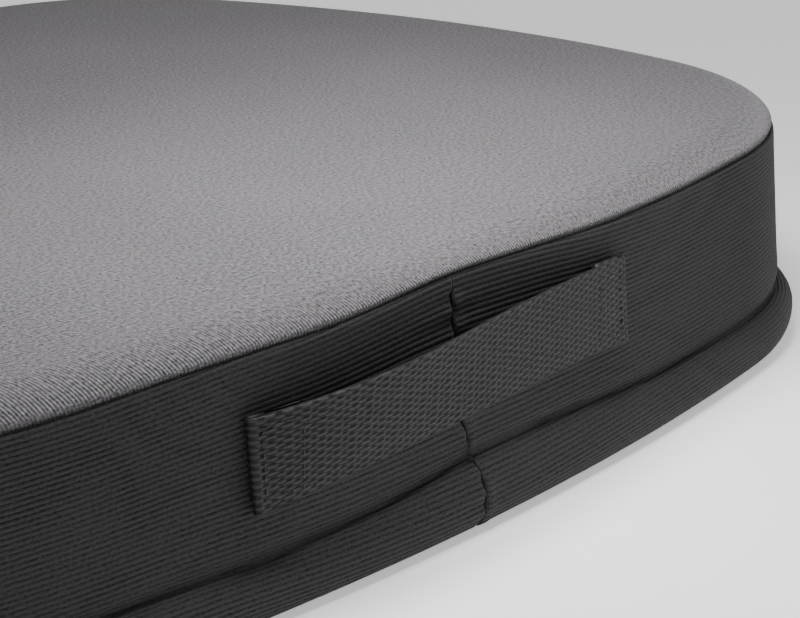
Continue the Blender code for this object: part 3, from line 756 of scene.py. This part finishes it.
def centreTurn(side):
    # the two halves of the band turn in where they are sewn together; the right one laps the left
    def turnIn(s, across):
        away = np.abs(s)[:, None]
        pucker = -centreSeam["pucker"] * np.exp(-away / (7 * mm))
        pucker = pucker * np.sin(2 * math.pi * across[None, :] / centreSeam["puckerPitch"] + side)
        if side > 0:
            fold = 0.6 * endTurn(away, 1.0, 0.4 * mm) - 0.35 * np.exp(-((away - 2.0 * mm) / (1.8 * mm)) ** 2)
        else:
            fold = endTurn(away, 1.0, 0.7 * mm)
        return pucker + centreSeam["depth"] * fold + endTurn(zipStart - away, **cutEdge)
    return turnIn


def seamDrift(s, share):
    # sideways place of the centre seam, fading out along the band
    stray = centreSeam["shift"] + centreSeam["drift"] * (smoothStep(0.1, 0.95, share) * 2 - 1)
    stray = stray - centreSeam["swerve"] * hump(share, 0.42, 0.16, 0.09)
    return np.exp(-np.abs(s) / (35 * mm))[:, None] * stray[None, :]


def noDrift(s, share):
    return 0.0 * s[:, None] * share[None, :]


def zipEndTurn(s, across):
    ends = endTurn(s - zipStart, **cutEdge) + endTurn(2 * halfLength - zipStart - s, **cutEdge)
    return ends[:, None] + 0 * across[None, :]


def makeBand():
    for word, side in (("left", -1), ("right", 1)):
        stations = side * sideStations()
        piece, length = bandStrip("side_band_" + word + "_cloth", stations, None, None, 2.0 + side,
                                  centreTurn(side), seamDrift)
        declare(piece, "rib_knit", "side_band_" + word)
    rear = np.linspace(zipStart + 0.3 * mm, 2 * halfLength - zipStart - 0.3 * mm, 150)
    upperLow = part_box("zip_band_upper")[0][2]
    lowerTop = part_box("zip_band_lower")[1][2]
    for word, top, low in (("upper", None, upperLow), ("lower", lowerTop, None)):
        piece, length = bandStrip("zip_band_" + word + "_cloth", rear, top, low, 5.0, zipEndTurn,
                                  noDrift)
        declare(piece, "rib_knit", "zip_band_" + word)


makeBand()
print("band made")


# Top panel

top = {
    "edgeRun": 14.0 * mm,     # how far in from the seam the top starts to roll over
    "crown": 3.0 * mm,        # the middle over the edge
    "crownRun": 90.0 * mm,
    "seamTuck": 1.6 * mm,
    "hem": ((3.0 * mm, 1.35 * mm), (0.5 * mm, 1.45 * mm)),    # its seam allowance, behind the band: down and in
}


def makeTopPanel():
    stops = np.linspace(-halfLength, halfLength, 900, endpoint=False)
    x, y, outX, outY = edgeAt(stops)
    seamZ = seamLine(stops)
    drawn = dentAt(stops)
    run = top["edgeRun"]
    roll = np.linspace(0, 1, 36) ** 1.7
    rings, cloth, lift = [], [], []
    for down, inward in top["hem"]:
        inward = inward + drawn
        rings.append(np.stack([x - outX * inward, y - outY * inward, seamZ - down], -1))
        reach = run * 0.25 + down
        cloth.append(np.stack([x + outX * reach, y + outY * reach, 0 * x], -1))
        lift.append(np.zeros(len(stops)))
    for part in roll:
        angle = part * math.pi / 2
        inward = run * (1 - math.cos(angle)) + drawn * (1 - part)
        z = seamZ + (topHeight - seamZ) * math.sin(angle)
        tuck = top["seamTuck"] * np.exp(-(part * 16 * mm / (1.8 * mm)) ** 2)
        rings.append(np.stack([x - outX * (inward + tuck), y - outY * (inward + tuck), z], -1))
        reach = run * 1.25 * (1 - part) - run
        cloth.append(np.stack([x + outX * reach, y + outY * reach, 0 * x], -1))
        # lift: how strongly the velour shows its wales, and near the seam how much painted shade it takes
        lift.append(np.full(len(stops), 1 - 0.8 * part))
    flat = rings[-1].copy()
    for share in np.linspace(1, 0, 34)[1:-1]:
        ring = flat * share
        inward = (1 - share) * np.linalg.norm(flat[:, :2], axis=1)
        ring[:, 2] = topHeight + top["crown"] * (1 - np.exp(-(inward / top["crownRun"]) ** 1.5))
        rings.append(ring)
        cloth.append(np.stack([ring[:, 0], ring[:, 1], 0 * x], -1))
        lift.append(np.full(len(stops), 0.2 * max(share * 4 - 3, 0)))
    count, around = len(rings), len(stops)
    middle = [0.0, 0.0, float(rings[-1][:, 2].mean())]
    points = np.vstack(rings + [middle])
    faces = ringFaces(count, around) + fanFaces((count - 1) * around, around, count * around)
    piece = makeObject("top_panel_cloth", points, faces, np.vstack(cloth + [[0.0, 0.0, 0.0]]),
                       np.append(np.concatenate(lift), 0.0))
    thicken(piece, 1.2 * mm, -1.0, velour)
    return piece


topPanel = declare(makeTopPanel(), "velour", "top_panel")
plan = place(np.linspace(-halfLength, halfLength, 600, endpoint=False), 0.0, 0.0)
print("top panel made")


# Handle

handle = {
    "length": 152.5 * mm,
    "width": 25.0 * mm,
    "thickness": 1.4 * mm,
    "fold": 16.0 * mm,
    "sewn": 18.0 * mm,
    "centre": -0.7 * mm,
    "middleHeight": 43.2 * mm,
    "tilt": 2.1 * mm,         # the right end over the middle, and the left end under it
    "arch": 3.0 * mm,         # the middle over the ends
    "twist": 1.5 * mm,
    "bowTop": 7.4 * mm,       # the top edge stands off the wall, more on its left half
    "bowLean": 4.0 * mm,
    "bowBottom": 1.8 * mm,
    "gap": 0.6 * mm,          # between the wall and the folded end
    "layerGap": 0.2 * mm,
    "station": 0.27 * mm,     # mesh step along it
    "stitchInset": 3.2 * mm,
}
handleThread = {"spacing": 2.9 * mm, "stitchLength": 2.2 * mm, "threadRadius": 0.2 * mm}


weave = {"warpPitch": 0.93 * mm, "weftPitch": 2.47 * mm, "relief": 0.5 * mm, "weftShare": 0.2,
         "unevenness": 0.9 * mm}


def handleFace(along, up, lift):
    # points at a distance along the handle, a height over its middle line and a lift off the wall
    share = np.clip(along / (handle["length"] / 2), -1, 1)
    free = 1 - share ** 2
    middle = handle["middleHeight"] + handle["tilt"] * share + handle["arch"] * free
    level = middle + handle["twist"] * share * free + up
    topPart = np.clip(up / handle["width"] + 0.5, 0, 1)
    bowTop = free * (handle["bowTop"] - handle["bowLean"] * share)
    bowBottom = free ** 2 * handle["bowBottom"]
    bow = bowBottom + (bowTop - bowBottom) * topPart
    s = along + handle["centre"]
    return place(s, wallOffset(s, level) + lift + bow, level)


def handleLayers():
    # middle heights of the folded-under and the outer layer over the wall
    low = handle["thickness"] / 2 + handle["gap"]
    return low, low + handle["thickness"] + handle["layerGap"]


def handlePoint(along, up, over):
    # points just over the outer face of the handle
    return handleFace(along, up, handleLayers()[1] + handle["thickness"] / 2 + over)


def makeHandle():
    half = handle["length"] / 2
    thick = handle["thickness"]
    low, high = handleLayers()
    pitch = high - low
    end = half - thick
    back = np.linspace(-half + handle["fold"], -end, 12)
    path = [(s, low) for s in back]
    for side in (-1, 1):
        for k in range(1, 12):
            turn = math.pi * k / 12
            path.append((side * (end + pitch / 2 * math.sin(turn)),
                         (low + high) / 2 + side * pitch / 2 * math.cos(turn)))
        if side < 0:
            path += [(s, high) for s in np.arange(-end, end + 0.1 * mm, handle["station"])]
    path += [(s, low) for s in -back[::-1]]
    path = np.array(path)
    step = np.gradient(path, axis=0)
    unit = step / np.linalg.norm(step, axis=1, keepdims=True)
    out = np.stack([-unit[:, 1], unit[:, 0]], -1)
    run = np.concatenate([[0], np.cumsum(np.linalg.norm(np.diff(path, axis=0), axis=1))])
    columns = int(handle["width"] / weave["warpPitch"] * 5)
    face = np.linspace(-1, 1, columns)
    rear = np.linspace(1, -1, 8)
    across = np.concatenate([face, rear])
    flatShare = 0.96    # of the width; the rest rounds over to the selvedge
    edge = np.maximum(np.abs(across) - flatShare, 0) / (1 - flatShare)
    bulge = np.sqrt(np.maximum(1 - edge ** 2, 0)) * np.repeat([1, -1], [len(face), len(rear)])
    lift = path[:, 1:] + out[:, 1:] * bulge * thick / 2
    points = handleFace(path[:, :1] + out[:, :1] * bulge * thick / 2, across * handle["width"] / 2, lift)
    cloth = np.zeros(points.shape)
    cloth[..., 0] = run[:, None]
    cloth[..., 1] = across[None, :] * handle["width"] / 2 + 0.05
    flatRun = smoothStep(-half, -half + 3 * mm, path[:, 0]) * (1 - smoothStep(half - 3 * mm, half, path[:, 0]))
    lift = np.concatenate([np.ones(len(face)), np.zeros(len(rear))])[None, :] * (0.05 + 0.95 * flatRun)[:, None]
    piece = sweep("handle_webbing_woven", points[::-1], cloth[::-1], lift[::-1])
    bake(piece, wovenWebbing, {**weave, "seed": 3.0, "material": webbingCloth})
    return piece


declare(makeHandle(), "webbing", "handle_webbing")


def makeHandleStitches():
    # a box of stitches through each folded end
    inset = handle["stitchInset"]
    for word, side in (("left", -1), ("right", 1)):
        half = handle["length"] / 2
        a, b = half - handle["sewn"] + inset, half - inset
        low, high = -handle["width"] / 2 + inset, handle["width"] / 2 - inset
        corners = [(a, low), (b, low), (b, high), (a, high), (a, low)]
        spots = []
        for (s1, z1), (s2, z2) in zip(corners, corners[1:]):
            count = max(int(math.hypot(s2 - s1, z2 - z1) / (1 * mm)), 2)
            spots += [(s1 + (s2 - s1) * k / count, z1 + (z2 - z1) * k / count) for k in range(count)]
        spots.append(corners[-1])
        along = np.array([side * spot[0] for spot in spots])
        up = np.array([spot[1] for spot in spots])
        piece = sewRow("handle_stitch_" + word + "_thread", handlePoint(along, up, -0.12 * mm), handleThread)
        declare(piece, "thread", "handle_stitch_" + word)


makeHandleStitches()
print("handle made")


# Thread in the top seam, foam and underside

seamThread = {"spacing": 3.0 * mm, "stitchLength": 2.4 * mm, "threadRadius": 0.22 * mm, "sunk": 1.5 * mm}


def makeSeamThread():
    s = np.linspace(-halfLength, halfLength, 1400, endpoint=False)
    points = place(s, -dentAt(s) - seamThread["sunk"], seamLine(s))
    piece = sewRow("top_seam_stitches", points, seamThread, closed=True)
    declare(piece, "thread", "top_seam_thread")


def closedStack(name, rings):
    # rings of equal count from the top down, closed with a fan at each end
    around = len(rings[0])
    points = np.concatenate(rings + [rings[0].mean(0)[None], rings[-1].mean(0)[None]])
    first, last = len(rings) * around, (len(rings) - 1) * around
    faces = turnedOver(ringFaces(len(rings), around)) + fanFaces(0, around, first)
    faces += turnedOver(fanFaces(last, around, first + 1))
    return makeObject(name, points, faces)


foam = {
    "slack": 2.4 * mm,        # how far it stands back from the cover
    "channelDepth": 5.5 * mm,    # cut back behind the zip
    "channelHalf": 11 * mm,
    "atGroove": 4.4 * mm,     # further back where the groove is drawn in
    "underGroove": 4.8 * mm,
}


def makeFoam():
    s = np.linspace(-halfLength, halfLength, 420, endpoint=False)
    zipHeight = (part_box("zip_coil_lower")[0][2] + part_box("zip_coil_upper")[1][2]) / 2
    behindZip = smoothStep(zipStart - 6 * mm, zipStart, np.abs(s))
    rings = []
    for turn in np.linspace(math.pi / 2, 0, 8):
        inward = top["edgeRun"] * (1 - math.cos(turn)) + dentAt(s) + foam["slack"]
        height = seamLine(s) - 1 * mm + (topHeight - foam["slack"] + 1 * mm - seamLine(s)) * math.sin(turn)
        rings.append(place(s, -inward, height))
    flat = rings[0]
    for share in (0.8, 0.5, 0.2):
        ring = flat * share
        ring[:, 2] = topHeight - foam["slack"] + top["crown"] * (1 - share)
        rings.insert(0, ring)
    bottom = grooveLine(s) + 1 * mm
    for share in np.linspace(0, 1, 16)[1:]:
        height = seamLine(s) + (bottom - seamLine(s)) * share
        channel = foam["channelDepth"] * behindZip
        channel = channel * (1 - smoothStep(foam["channelHalf"] - 2 * mm, foam["channelHalf"],
                                            np.abs(height - zipHeight)))
        atGroove = foam["atGroove"] * smoothStep(0.7, 0.95, share)
        rings.append(place(s, wallOffset(s, height) - foam["slack"] - channel - atGroove, height))
    upper = closedStack("foam_upper_layer_cells", rings)
    rings = []
    for turn in np.linspace(0.0, math.pi, 14):
        middle = band["lipMiddle"]
        height = middle + (bottom - 0.4 * mm - middle) * math.cos(turn) if turn < math.pi / 2 else (
            middle + (middle - 2.0 * mm) * math.cos(turn))
        reach = band["flare"] - foam["slack"] - foam["underGroove"] + band["lipOut"] * math.sin(turn)
        rings.append(place(s, reach, height))
    lower = closedStack("foam_base_layer_cells", rings)
    for piece, node in ((upper, "foam_upper_layer"), (lower, "foam_base_layer")):
        piece.data.materials.append(foamCells)
        declare(piece, "foam", node)


underside = {"dotPitch": 9.0 * mm, "edge": 9 * mm}
dot = {"radius": 1.7 * mm, "height": 0.6 * mm}


def makeUnderside():
    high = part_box("bottom_panel")[1][2]
    s = np.linspace(-halfLength, halfLength, 420, endpoint=False)
    inset = band["flare"] - band["turnIn"] - 0.3 * mm
    low = dot["height"]
    rings = [place(s, inset - 60 * mm, high), place(s, inset - 0.4 * mm, high), place(s, inset, high - 0.3 * mm),
             place(s, inset, low + 0.3 * mm), place(s, inset - 0.4 * mm, low), place(s, inset - 60 * mm, low)]
    panel = closedStack("bottom_panel_cloth", rings)
    panel.data.materials.append(gripCloth)
    declare(panel, "grip_fabric", "bottom_panel")
    plan = place(s, inset, 0.0)
    # dots on a staggered grid, kept clear of the hem
    rim = place(s, inset - underside["edge"], 0.0)[:, :2]
    spots = []
    rowStep = underside["dotPitch"] * math.sqrt(3) / 2
    for row in range(-int(halfDepth / rowStep), int(halfDepth / rowStep) + 1):
        for column in range(-int(halfWidth / underside["dotPitch"]), int(halfWidth / underside["dotPitch"]) + 1):
            spot = np.array([(column + 0.5 * (row % 2)) * underside["dotPitch"], row * rowStep])
            edge = rim[np.argmin(np.abs(np.arctan2(rim[:, 1], rim[:, 0]) - math.atan2(spot[1], spot[0])))]
            if np.hypot(*spot) < np.hypot(*edge):
                spots.append((spot[0], spot[1], low))
    dots = makeLine("bottom_panel_grip_dots", spots)
    bake(dots, gripDots, {**dot, "material": gripRubber})
    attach(dots, cushion)


makeSeamThread()
makeFoam()
makeUnderside()
print("thread, foam and underside made")


# Zip and label

teeth = {"pitch": 1.35 * mm, "reach": 2.6 * mm, "thickness": 1.7 * mm, "lean": 0.22}
rounding = {"tape": 0.2 * mm, "stop": 0.25 * mm, "tab": 0.2 * mm, "slider": 0.3 * mm}    # of the zip's edges


def softened(node, name, width, material, slotName, body=cushion):
    # a CAD solid with its edges rounded as a moulding or a cut cloth edge is
    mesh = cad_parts[node].data.copy()
    bm = bmesh.new()
    bm.from_mesh(mesh)
    bmesh.ops.remove_doubles(bm, verts=bm.verts, dist=1e-6)
    bmesh.ops.dissolve_limit(bm, angle_limit=math.radians(1), verts=bm.verts, edges=bm.edges)
    sharp = [edge for edge in bm.edges if len(edge.link_faces) == 2 and edge.calc_face_angle() > math.radians(30)]
    bmesh.ops.bevel(bm, geom=sharp, offset=width, segments=3, profile=0.5, affect="EDGES", clamp_overlap=True)
    bmesh.ops.triangulate(bm, faces=[face for face in bm.faces if len(face.verts) > 4])
    bm.to_mesh(mesh)
    bm.free()
    mesh.shade_smooth()
    mesh.set_sharp_from_angle(angle=math.radians(50))
    piece = addObject(name, mesh)
    paint(piece, material)
    declare(piece, slotName, node, body=body)


def makeZip():
    for word, side in (("upper", 1), ("lower", -1)):
        low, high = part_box("zip_coil_" + word)
        front = (low[1] + high[1]) / 2
        height = (low[2] + high[2]) / 2 - side * 0.35 * mm
        shift = 0.25 * side * teeth["pitch"]
        line = makeLine("zip_coil_" + word + "_teeth",
                        [(low[0] + 1 * mm + shift, front, height), (high[0] - 1 * mm + shift, front, height)])
        bake(line, coilTeeth, {**teeth, "lean": side * teeth["lean"], "material": coilNylon})
        declare(line, "nylon", "zip_coil_" + word)
        softened("zip_tape_" + word, "zip_tape_" + word + "_cloth", rounding["tape"], tapeCloth, "zip_tape")
    for word in ("closed", "open"):
        softened("zip_stop_" + word, "zip_stop_" + word + "_metal", rounding["stop"], zinc, "painted_zinc")
    for word in ("left", "right"):
        softened("zip_tab_" + word, "zip_tab_" + word + "_cloth", rounding["tab"], tabCloth, "tab_cloth")
    softened("zip_slider", "zip_slider_metal", rounding["slider"], zinc, "painted_zinc", body="slider")
    softened("zip_pull", "zip_pull_metal", rounding["slider"], zinc, "painted_zinc", body="pull")


label = {"lift": 0.5 * mm, "curl": 2.2 * mm, "thickness": 0.4 * mm}


def makeLabel():
    # a blank satin label, sewn in at its top edge, its lower corners lifting off the band
    low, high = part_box("care_label")
    columns, rows = 31, 25
    across = np.linspace(0, 1, columns)
    down = np.linspace(0, 1, rows)
    x = low[0] + (high[0] - low[0]) * across[None, :] + 0 * down[:, None]
    z = high[2] - (high[2] - low[2]) * down[:, None] + 0 * across[None, :]
    # the rear wall is straight, so distance from the rear centre is x
    s = np.where(x > 0, halfLength - x, -halfLength - x)
    corner = (2 * across[None, :] - 1) ** 2
    lift = label["lift"] + label["curl"] * down[:, None] ** 2 * (0.25 + 0.75 * corner)
    lift = lift + 0.25 * mm * np.sin(5 * across[None, :] + 3 * down[:, None])
    y = halfDepth + wallOffset(s, z) + lift
    front = np.stack([x, y, z], -1)
    faces = []
    for row in range(rows - 1):
        for column in range(columns - 1):
            here = row * columns + column
            faces.append((here, here + 1, here + columns + 1, here + columns))
    piece = makeObject("care_label_satin", front.reshape(-1, 3), faces)
    thicken(piece, label["thickness"], 0.0, labelSatin)
    declare(piece, "label_cloth", "care_label")


makeZip()
makeLabel()
print("zip and label made")


# Floor, light and camera

view = {
    "azimuth": -48.85,
    "elevation": 17.44,
    "roll": -1.69,
    "distance": 0.6983,
    "lens": 119.25,           # on a 36 mm sensor
    "aimRight": -13.69 * mm,
    "aimUp": 30.43 * mm,
}


studio = {
    "surround": 0.06,
    "floorGlow": 0.5,         # lifts the pale floor and backdrop towards white
    "backdropRadius": 4.0,    # metres
    "backdropHeight": 1.8,
    "coveRadius": 0.8,        # the floor curves up into the backdrop
    "lamps": {                # place, what it points at, size in metres, watts
        "overhead": ((0.02, -0.175, 0.315), (0.02, -0.17, 0.07), 0.16, 1.9),
        "side": ((2.3, -0.35, 1.0), (0.10, -0.10, 0.04), 1.2, 8.5),
        "front": ((1.7, -2.2, 1.3), (0.05, -0.2, 0.04), 1.6, 1.3),
        "rear": ((-1.1, 2.9, 1.0), (0.0, 0.2, 0.03), 1.8, 5.5),
    },
}


def makeCamera():
    azimuth, elevation = math.radians(view["azimuth"]), math.radians(view["elevation"])
    back = Vector((math.sin(azimuth) * math.cos(elevation), -math.cos(azimuth) * math.cos(elevation),
                   math.sin(elevation)))
    right = Vector((math.cos(azimuth), math.sin(azimuth), 0.0))
    up = back.cross(right)
    aim = Vector((0.0, -halfDepth, 30 * mm)) + right * view["aimRight"] + up * view["aimUp"]
    data = bpy.data.cameras.new("camera")
    data.lens = view["lens"]
    data.sensor_width = 36.0
    data.clip_start = 0.01
    camera = addObject("camera", data)
    camera.location = aim + back * view["distance"]
    look = (-back).to_track_quat("-Z", "Y")
    camera.rotation_mode = "QUATERNION"
    camera.rotation_quaternion = look @ Quaternion((0.0, 0.0, 1.0), math.radians(view["roll"]))
    bpy.context.scene.camera = camera


def makeStudio():
    floorMaterial, _, shader = startMaterial("palePaintedFloor")
    shader.inputs["Base Color"].default_value = toLinear("#f4f4f4")
    shader.inputs["Roughness"].default_value = 0.9
    shader.inputs["Emission Color"].default_value = (1.0, 1.0, 1.0, 1.0)
    shader.inputs["Emission Strength"].default_value = studio["floorGlow"]
    # a round floor whose rim curves up into a plain backdrop
    low, cove = -0.2 * mm, studio["coveRadius"]
    flat = studio["backdropRadius"] - cove
    profile = [(flat * share, low) for share in (0.25, 0.5, 0.75, 1.0)]
    profile += [(flat + cove * math.sin(turn), low + cove * (1 - math.cos(turn)))
                for turn in np.linspace(0, math.pi / 2, 17)[1:]]
    profile.append((studio["backdropRadius"], studio["backdropHeight"]))
    around = 96
    points = [(0.0, 0.0, low)]
    for radius, height in profile:
        points += [(radius * math.cos(turn), radius * math.sin(turn), height)
                   for turn in np.linspace(0, 2 * math.pi, around, endpoint=False)]
    faces = fanFaces(1, around, 0) + turnedOver(ringFaces(len(profile), around, first=1))
    floor = makeObject("studio_floor", points, faces)
    floor.data.materials.append(floorMaterial)
    world = bpy.data.worlds.new("studio")
    world.use_nodes = True
    background = world.node_tree.nodes["Background"]
    background.inputs["Color"].default_value = (1.0, 1.0, 1.0, 1.0)
    background.inputs["Strength"].default_value = studio["surround"]
    bpy.context.scene.world = world
    for name, (spot, aim, size, power) in studio["lamps"].items():
        data = bpy.data.lights.new(name, "AREA")
        data.energy = power
        data.size = size
        lamp = addObject(name, data)
        lamp.location = spot
        lamp.rotation_euler = (Vector(aim) - Vector(spot)).to_track_quat("-Z", "Y").to_euler()
        lamp.visible_camera = False


makeCamera()
makeStudio()
